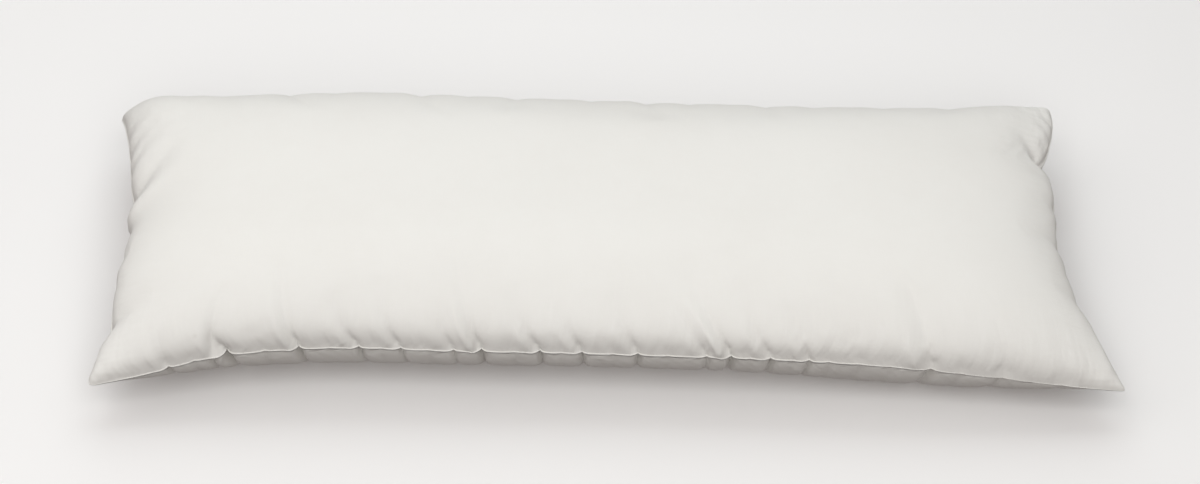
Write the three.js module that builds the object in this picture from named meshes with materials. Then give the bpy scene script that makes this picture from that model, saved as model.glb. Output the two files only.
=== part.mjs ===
import * as THREE from 'three';

// A long throw pillow insert, lying on its back panel. Two cotton panels of one size are sewn
// edge to edge, turned, stuffed with fibre and closed, so the body has a crowned face, sides
// drawn in between four pointed corners, and a gathered seam with a thin lip all the way round.
// Millimetres, +Z up. X runs along the pillow and Y away from its near side. The origin is on
// the surface that the pillow lies on, under the middle of its box.

// Half sizes of the stuffed pillow at its corners, seam to seam
const HALF_LENGTH = 447;
const HALF_WIDTH = 171;

// How full the pillow is: how far in from a seam each panel reaches its full height, and how
// square its shoulders are, where 2 is an ellipse
const SIDE_ROUND = 158;
const END_ROUND = 190;
const FACE_SHOULDER = 2.5;
const BACK_SHOULDER = 2;

// Without the surface under it, the back panel would sag this far below it. It flattens there
// instead, and this is how gently it lifts off.
const BACK_SAG = 8;
const LIFT_OFF = 6;

// The weight is carried inside this rectangle. The flattened cloth just round it clears the
// surface by about a millimetre, so the pillow stands firm on the corners and doesn't rock.
const SEAT = { left: -235, right: 235, near: -62, far: 50 };
const SEAT_CLEARANCE = 0.6;
const SEAT_SLOPE = 0.006;

// The stuffing thins out towards the points of the corners
const CORNER_SLACK = 0.25;
const CORNER_SPAN = 60;

// The panels roll out past the stitching on either side of the seam
const FACE_ROLL = 2.5;
const BACK_ROLL = 1;
const ROLL_SPAN = 12;

// The seam's lip, where the two cloth edges turn in and meet
const LIP_REACH = 2;
const LIP_HALF = 1;

// The points of the four corners
const CORNERS = {
  nearLeft: new THREE.Vector3(-439, -164, 41),
  nearRight: new THREE.Vector3(449, -170, 37),
  farLeft: new THREE.Vector3(-447, 170, 43),
  farRight: new THREE.Vector3(435, 168, 58),
};

// The route of the seam on each side. A station is a share of the way from corner to corner,
// how far the seam is drawn in from the straight line there, and its height.
const SIDES = {
  near: {
    from: 'nearLeft', to: 'nearRight', inward: new THREE.Vector3(0, 1, 0),
    stations: [
      { share: 0.05, inset: 13, height: 44 },
      { share: 0.12, inset: 19, height: 55 },
      { share: 0.22, inset: 21, height: 62 },
      { share: 0.36, inset: 19, height: 61 },
      { share: 0.5, inset: 17, height: 60 },
      { share: 0.75, inset: 10, height: 54 },
      { share: 0.88, inset: 4, height: 43 },
      { share: 0.95, inset: 1, height: 37 },
    ],
  },
  far: {
    from: 'farLeft', to: 'farRight', inward: new THREE.Vector3(0, -1, 0),
    stations: [
      { share: 0.04, inset: 3, height: 68 },
      { share: 0.12, inset: 10, height: 63 },
      { share: 0.25, inset: 9, height: 65 },
      { share: 0.5, inset: 11, height: 63 },
      { share: 0.75, inset: 12, height: 57 },
      { share: 0.88, inset: 9, height: 58 },
      { share: 0.95, inset: 3, height: 61 },
    ],
  },
  left: {
    from: 'nearLeft', to: 'farLeft', inward: new THREE.Vector3(1, 0, 0),
    stations: [
      { share: 0.08, inset: 4, height: 42 },
      { share: 0.15, inset: 14, height: 47 },
      { share: 0.26, inset: 15, height: 54 },
      { share: 0.5, inset: 17, height: 60 },
      { share: 0.75, inset: 21, height: 62 },
      { share: 0.9, inset: 7, height: 58 },
    ],
  },
  right: {
    from: 'nearRight', to: 'farRight', inward: new THREE.Vector3(-1, 0, 0),
    stations: [
      { share: 0.1, inset: 8, height: 42 },
      { share: 0.25, inset: 23, height: 52 },
      { share: 0.5, inset: 30, height: 60 },
      { share: 0.64, inset: 23, height: 62 },
      { share: 0.76, inset: 18, height: 62 },
      { share: 0.87, inset: 8, height: 60 },
      { share: 0.95, inset: 0, height: 59 },
    ],
  },
};

// Height of the face's crown along the pillow
const CROWN = [
  { share: 0, height: 116 },
  { share: 0.25, height: 118 },
  { share: 0.5, height: 115 },
  { share: 0.75, height: 112 },
  { share: 1, height: 112 },
];

// The gathers that run from the seam into both panels. Each is placed by how far along its side
// it lies from the side's middle. It has its depth, half its width at the seam, how far up the
// panel it reaches and how far it leans along the side for each millimetre up.
const GATHERS = {
  near: [
    { at: -375, depth: 4, half: 7, reach: 45, lean: -0.3 },
    { at: -326, depth: 7, half: 7, reach: 75, lean: -0.25 },
    { at: -266, depth: 6, half: 7, reach: 80, lean: -0.35 },
    { at: -215, depth: 4.5, half: 7, reach: 50, lean: -0.5 },
    { at: -179, depth: 4, half: 7, reach: 50, lean: -0.4 },
    { at: -133, depth: 4, half: 7, reach: 40, lean: -0.4 },
    { at: -110, depth: 5.5, half: 7, reach: 60, lean: -0.35 },
    { at: -59, depth: 5.5, half: 7, reach: 60, lean: -0.6 },
    { at: -23, depth: 5, half: 7, reach: 60, lean: -0.5 },
    { at: 24, depth: 5, half: 8, reach: 50, lean: -0.4 },
    { at: 79, depth: 4, half: 8, reach: 60, lean: -0.6 },
    { at: 104, depth: 6, half: 7, reach: 80, lean: -0.5 },
    { at: 139, depth: 5, half: 8, reach: 60, lean: -0.5 },
    { at: 172, depth: 3.5, half: 9, reach: 45, lean: -0.2 },
    { at: 214, depth: 3, half: 10, reach: 55, lean: -0.3 },
    { at: 278, depth: 6, half: 11, reach: 85, lean: 0.05 },
    { at: 338, depth: 5, half: 16, reach: 60, lean: 0.1 },
  ],
  far: [
    { at: -352, depth: 4, half: 9, reach: 55, lean: 0.2 },
    { at: -291, depth: 5, half: 8, reach: 60, lean: 0.3 },
    { at: -236, depth: 4, half: 8, reach: 50, lean: -0.2 },
    { at: -168, depth: 6, half: 8, reach: 70, lean: 0.3 },
    { at: -121, depth: 4, half: 7, reach: 45, lean: 0.2 },
    { at: -64, depth: 5, half: 8, reach: 60, lean: -0.3 },
    { at: -8, depth: 4, half: 8, reach: 50, lean: 0.4 },
    { at: 47, depth: 6, half: 8, reach: 65, lean: 0.3 },
    { at: 98, depth: 4, half: 7, reach: 45, lean: -0.2 },
    { at: 157, depth: 5, half: 8, reach: 60, lean: 0.4 },
    { at: 219, depth: 4, half: 8, reach: 50, lean: -0.3 },
    { at: 283, depth: 5, half: 9, reach: 60, lean: -0.2 },
    { at: 349, depth: 4, half: 9, reach: 50, lean: -0.3 },
  ],
  left: [
    { at: -118, depth: 7, half: 9, reach: 60, lean: 0.2 },
    { at: -38, depth: 4, half: 8, reach: 50, lean: -0.3 },
    { at: 17, depth: 4, half: 8, reach: 45, lean: 0.3 },
    { at: 52, depth: 7, half: 9, reach: 70, lean: 0.4 },
  ],
  right: [
    { at: -96, depth: 4, half: 9, reach: 50, lean: 0.3 },
    { at: -31, depth: 5, half: 8, reach: 55, lean: 0.2 },
    { at: 22, depth: 4, half: 8, reach: 45, lean: -0.2 },
    { at: 90, depth: 11, half: 9, reach: 70, lean: 0.3 },
  ],
};

// Grid of each panel. Its lines crowd towards the seams and round the gathers that they cross.
const COLUMNS = 122;
const ROWS = 22;
const END_CROWDING = { extra: 2, span: 30 };
const SIDE_CROWDING = { extra: 5, span: 16 };
const GATHER_CROWDING = { extra: 1.2, span: 12 };

const COTTON = new THREE.MeshStandardMaterial({
  name: 'cotton_shell',
  color: 0xecebe6,
  roughness: 0.9,
  metalness: 0,
});

// A smooth curve through a table's rows, for the named columns, over their shares.
function curveThrough(rows, ...columns) {
  const shares = rows.map((row) => row.share);
  const values = rows.flatMap((row) => columns.map((column) => row[column]));
  return new THREE.CubicInterpolant(shares, values, columns.length);
}

const ROUTES = Object.fromEntries(Object.entries(SIDES).map(([name, side]) => [name, curveThrough([
  { share: 0, inset: 0, height: CORNERS[side.from].z },
  ...side.stations,
  { share: 1, inset: 0, height: CORNERS[side.to].z },
], 'inset', 'height')]));
const CROWN_LINE = curveThrough(CROWN, 'height');

// A point of the seam, at a share of the way along one side.
function seamPoint(name, share) {
  const side = SIDES[name];
  const [inset, height] = ROUTES[name].evaluate(share);
  const point = CORNERS[side.from].clone().lerp(CORNERS[side.to], share);
  point.addScaledVector(side.inward, inset);
  point.z = height;
  return point;
}

// The sheet stretched between the four seams, at shares u along and v across the pillow.
function seamSheet(u, v) {
  const point = new THREE.Vector3();
  point.addScaledVector(seamPoint('near', u), 1 - v);
  point.addScaledVector(seamPoint('far', u), v);
  point.addScaledVector(seamPoint('left', v), 1 - u);
  point.addScaledVector(seamPoint('right', v), u);
  point.addScaledVector(CORNERS.nearLeft, -(1 - u) * (1 - v));
  point.addScaledVector(CORNERS.nearRight, -u * (1 - v));
  point.addScaledVector(CORNERS.farLeft, -(1 - u) * v);
  point.addScaledVector(CORNERS.farRight, -u * v);
  return point;
}

// How full a panel is at a distance in from one seam, from 0 at the stitching to 1.
function fullness(gap, round, shoulder) {
  const short = Math.max(0, 1 - gap / round);
  return Math.sqrt(Math.max(0, 1 - short ** shoulder));
}

// Shares across one way of the grid, spaced by how much there is to show at each place. The
// density of lines is summed up in small steps, and each line stands at an equal share of the sum.
function spacedShares(count, halfSpan, crowding, gathers) {
  const steps = 2000;
  const running = [0];
  for (let k = 0; k < steps; k += 1) {
    const at = halfSpan * ((2 * k + 1) / steps - 1);
    let density = 1 + crowding.extra * Math.exp((Math.abs(at) - halfSpan) / crowding.span);
    for (const gather of gathers) {
      density += GATHER_CROWDING.extra * Math.exp(-(((at - gather.at) / GATHER_CROWDING.span) ** 2));
    }
    running.push(running[k] + density);
  }
  return Array.from({ length: count + 1 }, (_, i) => {
    const target = (running[steps] * i) / count;
    const k = Math.min(steps - 1, Math.max(0, running.findIndex((sum) => sum >= target) - 1));
    return (k + (target - running[k]) / (running[k + 1] - running[k])) / steps;
  });
}

const COLUMN_SHARES = spacedShares(COLUMNS, HALF_LENGTH, END_CROWDING, GATHERS.near);
const ROW_SHARES = spacedShares(ROWS, HALF_WIDTH, SIDE_CROWDING, [...GATHERS.left, ...GATHERS.right]);

// How far the gathers of one side draw the cloth in, at a place along it and a distance from it.
function gatherDepth(name, along, gap) {
  let depth = 0;
  for (const gather of GATHERS[name]) {
    if (gap >= gather.reach) continue;
    const rise = gap / gather.reach;
    const half = gather.half * (1 + rise);
    const off = (along - gather.at - gather.lean * gap) / half;
    depth += gather.depth * (1 - rise) ** 2 * Math.exp(-off * off);
  }
  return depth;
}

// How far the gathers of all four sides draw the cloth in at a point of the grid.
function drawnIn(x, y) {
  return gatherDepth('near', x, HALF_WIDTH + y) + gatherDepth('far', x, HALF_WIDTH - y)
    + gatherDepth('left', y, HALF_LENGTH + x) + gatherDepth('right', y, HALF_LENGTH - x);
}

// The back panel lies flat on the surface and lifts off it in a gentle curve.
function settled(z) {
  if (z <= 0) return 0;
  return z < 2 * LIFT_OFF ? (z * z) / (4 * LIFT_OFF) : z - LIFT_OFF;
}

// How high the cloth has to be outside the rectangle that carries the weight.
function seatClearance(x, y) {
  const outside = Math.max(SEAT.left - x, x - SEAT.right, SEAT.near - y, y - SEAT.far);
  return outside > 0 ? SEAT_CLEARANCE + SEAT_SLOPE * outside : 0;
}

// Sets the back panel down on the surface, with a point of its grid on each corner of the seat.
function setDown(points) {
  points.forEach((point) => {
    point.z = Math.max(settled(point.z + LIFT_OFF), seatClearance(point.x, point.y));
  });
  for (const x of [SEAT.left, SEAT.right]) {
    for (const y of [SEAT.near, SEAT.far]) {
      const corner = new THREE.Vector3(x, y, 0);
      points.reduce((a, b) => (a.distanceTo(corner) < b.distanceTo(corner) ? a : b)).copy(corner);
    }
  }
}

// One panel as a grid of points: direction is 1 for the face and -1 for the back.
function panelPoints(direction) {
  const roll = direction > 0 ? FACE_ROLL : BACK_ROLL;
  const shoulder = direction > 0 ? FACE_SHOULDER : BACK_SHOULDER;
  const rollAt = (gap) => roll * (gap / ROLL_SPAN) * Math.exp(1 - gap / ROLL_SPAN);
  const grid = COLUMN_SHARES.map((u) => ROW_SHARES.map((v) => {
    const x = HALF_LENGTH * (2 * u - 1);
    const y = HALF_WIDTH * (2 * v - 1);
    const endGap = HALF_LENGTH - Math.abs(x);
    const sideGap = HALF_WIDTH - Math.abs(y);
    const endFullness = fullness(endGap, END_ROUND, shoulder);
    const sideFullness = fullness(sideGap, SIDE_ROUND, shoulder);
    const slack = CORNER_SLACK * Math.exp(-Math.hypot(endGap, sideGap) / CORNER_SPAN);
    const fullHeight = direction > 0 ? CROWN_LINE.evaluate(u)[0] : -BACK_SAG - LIFT_OFF;
    const point = seamSheet(u, v);
    point.x += Math.sign(x) * rollAt(endGap) * sideFullness;
    point.y += Math.sign(y) * rollAt(sideGap) * endFullness;
    point.z += (fullHeight - point.z) * endFullness * sideFullness * (1 - slack);
    return point;
  }));
  const shaped = grid.map((column, i) => column.map((point, j) => {
    const x = HALF_LENGTH * (2 * COLUMN_SHARES[i] - 1);
    const y = HALF_WIDTH * (2 * ROW_SHARES[j] - 1);
    return point.clone().addScaledVector(outward(grid, i, j, direction), -drawnIn(x, y));
  }));
  if (direction < 0) setDown(shaped.flat());
  return shaped;
}

// The direction that the cloth faces at one point of a panel.
function outward(grid, i, j, direction) {
  const along = grid[Math.min(i + 1, COLUMNS)][j].clone().sub(grid[Math.max(i - 1, 0)][j]);
  const across = grid[i][Math.min(j + 1, ROWS)].clone().sub(grid[i][Math.max(j - 1, 0)]);
  return along.cross(across).normalize().multiplyScalar(direction);
}

// The grid places round the edge of a panel, anticlockwise from the near left corner.
function rim() {
  const places = [];
  for (let i = 0; i < COLUMNS; i += 1) places.push([i, 0]);
  for (let j = 0; j < ROWS; j += 1) places.push([COLUMNS, j]);
  for (let i = COLUMNS; i > 0; i -= 1) places.push([i, ROWS]);
  for (let j = ROWS; j > 0; j -= 1) places.push([0, j]);
  return places;
}

// Gathers points and the triangles between them.
class ClothMesh {
  constructor() {
    this.points = [];
    this.triangles = [];
  }

  add(point) {
    return this.points.push(point) - 1;
  }

  // Two triangles between four corners in turn, split along the shorter diagonal.
  quad(a, b, c, d) {
    const length = (p, q) => this.points[p].distanceTo(this.points[q]);
    if (length(a, c) <= length(b, d)) this.triangles.push(a, b, c, a, c, d);
    else this.triangles.push(a, b, d, b, c, d);
  }

  geometry() {
    const geometry = new THREE.BufferGeometry().setFromPoints(this.points);
    geometry.setIndex(this.triangles);
    geometry.computeVertexNormals();
    return geometry;
  }
}

// The whole pillow as one closed surface: face panel, back panel and the lip between them.
function pillowGeometry() {
  const cloth = new ClothMesh();
  const face = panelPoints(1);
  const back = panelPoints(-1);
  const places = rim();
  const lip = [];
  places.forEach(([i, j], k) => {
    const [iNext, jNext] = places[(k + 1) % places.length];
    const [iLast, jLast] = places[(k + places.length - 1) % places.length];
    const seam = face[i][j].clone().add(back[i][j]).multiplyScalar(0.5);
    const run = face[iNext][jNext].clone().sub(face[iLast][jLast]);
    const out = new THREE.Vector3(run.y, -run.x, 0).normalize();
    lip.push(seam.clone().addScaledVector(out, LIP_REACH));
    face[i][j].copy(seam).z += LIP_HALF;
    back[i][j].copy(seam).z -= LIP_HALF;
  });
  const faceIds = face.map((column) => column.map((point) => cloth.add(point)));
  const backIds = back.map((column) => column.map((point) => cloth.add(point)));
  const lipIds = lip.map((point) => cloth.add(point));
  for (let i = 0; i < COLUMNS; i += 1) {
    for (let j = 0; j < ROWS; j += 1) {
      cloth.quad(faceIds[i][j], faceIds[i + 1][j], faceIds[i + 1][j + 1], faceIds[i][j + 1]);
      cloth.quad(backIds[i][j], backIds[i][j + 1], backIds[i + 1][j + 1], backIds[i + 1][j]);
    }
  }
  places.forEach(([i, j], k) => {
    const next = (k + 1) % places.length;
    const [iNext, jNext] = places[next];
    cloth.quad(lipIds[k], lipIds[next], faceIds[iNext][jNext], faceIds[i][j]);
    cloth.quad(backIds[i][j], backIds[iNext][jNext], lipIds[next], lipIds[k]);
  });
  const geometry = cloth.geometry();
  geometry.computeBoundingBox();
  const middle = geometry.boundingBox.getCenter(new THREE.Vector3());
  return geometry.translate(-middle.x, -middle.y, 0);
}

const pillow = new THREE.Mesh(pillowGeometry(), COTTON);
pillow.name = 'pillow_insert';

const part = new THREE.Group();
part.add(pillow);

export default part;
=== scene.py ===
"""A long throw pillow insert of plain warm white cotton, lying on its back panel.

Two panels are sewn edge to edge, turned and stuffed. The script shapes both panels round one seam,
lets cloth simulation settle them under the pressure of the filling, closes the seam with the two
folded cloth edges, sews it with thread, and sets the pillow on a pale floor under soft light.
Metres, +Z up, +X along the pillow, +Y away from its near side.
"""

import logging
import math
from dataclasses import dataclass, field
from enum import Enum
from typing import Any

import bpy
import numpy as np
from mathutils import Matrix, Vector


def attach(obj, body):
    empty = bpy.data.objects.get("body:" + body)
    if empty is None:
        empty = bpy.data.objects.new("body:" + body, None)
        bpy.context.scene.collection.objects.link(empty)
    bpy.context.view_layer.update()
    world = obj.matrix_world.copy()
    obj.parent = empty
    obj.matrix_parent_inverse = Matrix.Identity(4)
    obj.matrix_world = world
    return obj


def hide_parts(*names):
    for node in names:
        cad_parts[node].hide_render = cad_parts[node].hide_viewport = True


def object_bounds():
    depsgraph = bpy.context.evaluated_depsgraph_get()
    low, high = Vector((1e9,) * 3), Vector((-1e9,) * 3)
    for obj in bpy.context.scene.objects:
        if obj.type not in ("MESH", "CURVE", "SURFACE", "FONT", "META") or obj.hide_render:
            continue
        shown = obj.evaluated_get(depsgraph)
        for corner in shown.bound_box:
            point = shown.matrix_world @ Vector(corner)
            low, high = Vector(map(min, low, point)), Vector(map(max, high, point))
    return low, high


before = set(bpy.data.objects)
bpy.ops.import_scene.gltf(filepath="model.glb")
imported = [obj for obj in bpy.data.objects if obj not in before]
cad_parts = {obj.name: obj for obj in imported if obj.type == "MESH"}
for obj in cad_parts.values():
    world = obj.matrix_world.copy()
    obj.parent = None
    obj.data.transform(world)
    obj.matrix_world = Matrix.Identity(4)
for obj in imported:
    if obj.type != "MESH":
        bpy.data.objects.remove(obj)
CAD_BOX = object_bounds()

LOG = logging.getLogger("pillow insert")
PHOTO_WIDTH = 1200
MM = 0.001
# The least that a length or a gap is divided by.
TINY = 1e-12


class Panel(Enum):
    """One of the two pieces of cloth, valued by the way that it faces."""

    FACE = 1
    BACK = -1


class Edge(Enum):
    """One of the four sides of the pillow, valued by the way in from it."""

    NEAR = (0.0, 1.0, 0.0)
    FAR = (0.0, -1.0, 0.0)
    LEFT = (1.0, 0.0, 0.0)
    RIGHT = (-1.0, 0.0, 0.0)


@dataclass(frozen=True)
class Station:
    """A place on the seam: a share of the way along its side, how far in it lies, its height."""

    share: float
    inset: float
    height: float


@dataclass(frozen=True)
class Corner:
    """A corner of the seam before it is rounded, and the radius that rounds it in plan."""

    place: tuple[float, float, float]
    radius: float

    def rounded(self, run: np.ndarray) -> tuple[np.ndarray, np.ndarray]:
        """Rounds off a side next to the corner.

        Args:
            run: Distance along the side from the corner.

        Returns:
            How much farther along each place moves, and how far in.
        """
        first = (1 - math.sqrt(0.5)) * self.radius
        slide = first * np.exp(-run / (2 * first))
        short = np.clip(self.radius - run - slide, 0, None)
        return slide, self.radius - np.sqrt(self.radius**2 - short**2)


@dataclass(frozen=True)
class Gather:
    """A gather that runs from the seam into both panels.

    It is placed along its side from the side's middle. Half is half its width at the seam. Reach
    is how far along the cloth it goes, and lean is how far it moves along the side for each
    metre of that. Crest is the height of the small ridge beside it, crest_off half widths away,
    and nip the depth of the notch that it makes in the seam, both as shares of its depth. Climb
    says how steeply the cloth leaves the seam there, bluntness how round the bottom of the
    gather is, and nip_span how soon it is at its full depth. In the back panel it is narrower and
    leans the other way. It is back_gain times as deep there if its depth is deep or more, and by
    less if it is shallower.
    """

    at: float
    depth: float
    half: float
    reach: float
    lean: float
    crest: float = 0.0
    nip: float = 0.45
    climb: float = 0.22
    crest_off: float = 2.2
    bluntness: float = 0.25
    nip_span: float = 0.005
    deep: float = 0.007
    back_gain: float = 3.2
    back_lean: float = -0.25
    back_half: float = 0.42
    back_reach: float = 0.080

    def draw(self, along: np.ndarray, gap: np.ndarray, panel: Panel) -> np.ndarray:
        """Works out how far it draws the cloth in.

        Args:
            along: Distance along the side from its middle.
            gap: Distance in from the seam, seen from above.
            panel: Which panel.

        Returns:
            The depth at each place.
        """
        run = np.hypot(gap, self.climb * np.sqrt(gap))
        if panel is Panel.FACE:
            half, reach, lean, crest, full = self.half, self.reach, self.lean, self.crest, 1
        else:
            half, reach, lean = self.half * self.back_half, self.back_reach, self.lean * self.back_lean
            crest, full = 0, 1 + (self.back_gain - 1) * min(self.depth / self.deep, 1) ** 2
        rise = np.minimum(run / reach, 1)
        off = (along - self.at - lean * run) / (half * (1 + rise))
        trough = np.exp(self.bluntness - np.hypot(off, self.bluntness))
        ridge = crest * np.exp(-((off + self.crest_off) ** 2)) * (1 - rise)
        start = self.nip + (full - self.nip) * (1 - np.exp(-run / self.nip_span))
        return self.depth * start * (1 - rise) ** 2 * (trough - ridge)


class CubicTable:
    """A smooth curve through the rows of a table."""

    def __init__(self, shares: list[float], rows: list[tuple[float, ...]]) -> None:
        """Keeps the table.

        Args:
            shares: Where each row stands, rising from 0 to 1.
            rows: The values of each row.
        """
        self.shares = np.array(shares, float)
        self.rows = np.array(rows, float)

    def at(self, share: np.ndarray) -> np.ndarray:
        """Reads the curve.

        Args:
            share: Where to read it.

        Returns:
            One row of values for each share.
        """
        stations = self.shares
        last = len(stations) - 1
        upper = np.clip(np.searchsorted(stations, share, side="right"), 1, last)
        lower = upper - 1
        before = np.where(lower > 0, lower - 1, upper)
        after = np.where(upper < last, upper + 1, lower)
        span = stations[upper] - stations[lower]
        bend_in = np.abs(span / 2 / (stations[lower] - stations[before]))
        bend_in = np.where(lower > 0, bend_in, -bend_in)
        bend_out = np.abs(span / 2 / (stations[after] - stations[upper]))
        bend_out = np.where(upper < last, bend_out, -bend_out)
        p = (share - stations[lower]) / span
        pp, ppp = p * p, p * p * p
        weights = {
            "before": -bend_in * (ppp - 2 * pp + p),
            "lower": (1 + bend_in) * ppp - (1.5 + 2 * bend_in) * pp + (bend_in - 0.5) * p + 1,
            "upper": (1.5 + bend_out) * pp - (1 + bend_out) * ppp + 0.5 * p,
            "after": bend_out * (ppp - pp),
        }
        return (
            self.rows[before] * weights["before"][:, None]
            + self.rows[lower] * weights["lower"][:, None]
            + self.rows[upper] * weights["upper"][:, None]
            + self.rows[after] * weights["after"][:, None]
        )


@dataclass(frozen=True)
class SeamSide:
    """One side of the seam, from one corner to the next, with the gathers that start on it.

    Spans say, at shares of the way along, how far in from the seam the back panel first lies
    flat, and lips how much of its folded edges the seam shows.
    """

    edge: Edge
    start: Corner
    end: Corner
    stations: tuple[Station, ...]
    gathers: tuple[Gather, ...]
    spans: tuple[tuple[float, float], ...] = ((0.0, 0.130), (1.0, 0.130))
    lips: tuple[tuple[float, float], ...] = ((0.0, 1.0), (1.0, 1.0))

    def points(self, shares: np.ndarray) -> np.ndarray:
        """Works out where the seam runs.

        Args:
            shares: Shares of the way from the first corner to the second.

        Returns:
            One point for each share.
        """
        first, last = np.array(self.start.place), np.array(self.end.place)
        rows = (Station(0, 0, first[2]), *self.stations, Station(1, 0, last[2]))
        table = CubicTable([row.share for row in rows], [(row.inset, row.height) for row in rows])
        inset, height = table.at(shares).T
        inward = np.array(self.edge.value)
        forward = np.abs(inward[[1, 0, 2]])
        length = forward @ (last - first)
        drawn = np.outer(1 - shares, first) + np.outer(shares, last) + np.outer(inset, inward)
        for corner, way, run in ((self.start, 1, shares), (self.end, -1, 1 - shares)):
            slide, cut = corner.rounded(run * length)
            drawn += np.outer(way * slide, forward) + np.outer(cut, inward)
        drawn[:, 2] = height
        return drawn

    def depth(self, along: np.ndarray, gap: np.ndarray, panel: Panel) -> np.ndarray:
        """Adds up how far this side's gathers draw the cloth in.

        Args:
            along: Distance along the side from its middle.
            gap: Distance in from the seam.
            panel: Which panel.

        Returns:
            The depth at each place.
        """
        return sum(gather.draw(along, gap, panel) for gather in self.gathers)

    def span(self, shares: np.ndarray) -> np.ndarray:
        """How far in the back panel first lies flat at each share of the way along."""
        return np.interp(shares, *zip(*self.spans))

    def lip(self, shares: np.ndarray) -> np.ndarray:
        """How much of its folded edges the seam shows at each share of the way along."""
        return np.interp(shares, *zip(*self.lips))


NEAR_LEFT = Corner((-0.442, -0.170, 0.038), radius=0.010)
NEAR_RIGHT = Corner((0.456, -0.173, 0.036), radius=0.004)
FAR_LEFT = Corner((-0.448, 0.171, 0.041), radius=0.006)
FAR_RIGHT = Corner((0.436, 0.169, 0.062), radius=0.006)

NEAR_SIDE = SeamSide(
    Edge.NEAR, NEAR_LEFT, NEAR_RIGHT,
    stations=(
        Station(share=0.05, inset=0.009, height=0.042),
        Station(share=0.12, inset=0.018, height=0.055),
        Station(share=0.22, inset=0.023, height=0.062),
        Station(share=0.36, inset=0.021, height=0.061),
        Station(share=0.50, inset=0.019, height=0.060),
        Station(share=0.75, inset=0.009, height=0.058),
        Station(share=0.88, inset=0.003, height=0.048),
        Station(share=0.95, inset=0.001, height=0.040),
    ),
    gathers=(
        Gather(at=-0.377, depth=0.0056, half=0.0033, reach=0.050, lean=-0.25, crest=0.30, nip=0.50),
        Gather(at=-0.355, depth=0.0030, half=0.0040, reach=0.036, lean=-0.25, nip=0.50),
        Gather(at=-0.339, depth=0.0054, half=0.0031, reach=0.095, lean=-0.03, crest=0.35, nip=0.0),
        Gather(at=-0.327, depth=0.0120, half=0.0040, reach=0.050, lean=-0.50, crest=0.20, nip=0.70),
        Gather(at=-0.295, depth=0.0026, half=0.0040, reach=0.034, lean=-0.35, nip=0.60),
        Gather(at=-0.266, depth=0.0084, half=0.0034, reach=0.110, lean=-0.33, crest=0.55, nip=0.55),
        Gather(at=-0.240, depth=0.0016, half=0.0040, reach=0.034, lean=-0.40),
        Gather(at=-0.215, depth=0.0063, half=0.0032, reach=0.060, lean=-0.52, crest=0.40, nip=0.50),
        Gather(at=-0.196, depth=0.0016, half=0.0038, reach=0.032, lean=-0.40),
        Gather(at=-0.179, depth=0.0056, half=0.0032, reach=0.070, lean=-0.45, crest=0.35, nip=0.45),
        Gather(at=-0.155, depth=0.0019, half=0.0040, reach=0.036, lean=-0.40),
        Gather(at=-0.134, depth=0.0050, half=0.0031, reach=0.050, lean=-0.35, crest=0.30, nip=0.50),
        Gather(at=-0.110, depth=0.0082, half=0.0034, reach=0.085, lean=-0.32, crest=0.70, nip=0.55),
        Gather(at=-0.082, depth=0.0019, half=0.0040, reach=0.038, lean=-0.40),
        Gather(at=-0.060, depth=0.0071, half=0.0033, reach=0.065, lean=-0.47, crest=0.40, nip=0.55),
        Gather(at=-0.042, depth=0.0016, half=0.0038, reach=0.032, lean=-0.40),
        Gather(at=-0.024, depth=0.0065, half=0.0033, reach=0.068, lean=-0.43, crest=0.40, nip=0.45),
        Gather(at=0.003, depth=0.0022, half=0.0040, reach=0.036, lean=-0.40),
        Gather(at=0.024, depth=0.0063, half=0.0034, reach=0.062, lean=-0.36, crest=0.35, nip=0.50),
        Gather(at=0.050, depth=0.0019, half=0.0040, reach=0.036, lean=-0.40),
        Gather(at=0.083, depth=0.0052, half=0.0034, reach=0.075, lean=-0.45, crest=0.25, nip=0.40),
        Gather(at=0.104, depth=0.0082, half=0.0036, reach=0.095, lean=-0.38, crest=0.80, nip=0.45),
        Gather(at=0.121, depth=0.0019, half=0.0040, reach=0.038, lean=-0.40),
        Gather(at=0.138, depth=0.0065, half=0.0036, reach=0.072, lean=-0.38, crest=0.45, nip=0.45),
        Gather(at=0.157, depth=0.0017, half=0.0042, reach=0.038, lean=-0.30),
        Gather(at=0.171, depth=0.0054, half=0.0036, reach=0.060, lean=-0.25, crest=0.35, nip=0.45),
        Gather(at=0.188, depth=0.0030, half=0.0048, reach=0.055, lean=-0.25, crest=0.30),
        Gather(at=0.214, depth=0.0026, half=0.0065, reach=0.065, lean=-0.30, nip=0.30),
        Gather(at=0.241, depth=0.0020, half=0.0060, reach=0.055, lean=-0.15, nip=0.30),
        Gather(at=0.276, depth=0.0065, half=0.0062, reach=0.110, lean=-0.05, crest=0.45, nip=0.45),
        Gather(at=0.302, depth=0.0024, half=0.0060, reach=0.070, lean=-0.10, crest=0.30, nip=0.30),
        Gather(at=0.338, depth=0.0042, half=0.0095, reach=0.070, lean=0.08, nip=0.30),
        Gather(at=0.392, depth=0.0022, half=0.0060, reach=0.045, lean=0.20, nip=0.30),
    ),
    spans=((0.0, 0.130), (0.62, 0.130), (0.76, 0.100), (0.86, 0.095), (0.92, 0.110), (1.0, 0.130)),
    lips=((0.0, 1.0), (0.70, 1.0), (0.80, 0.5), (0.90, 0.3), (1.0, 1.0)),
)

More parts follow.
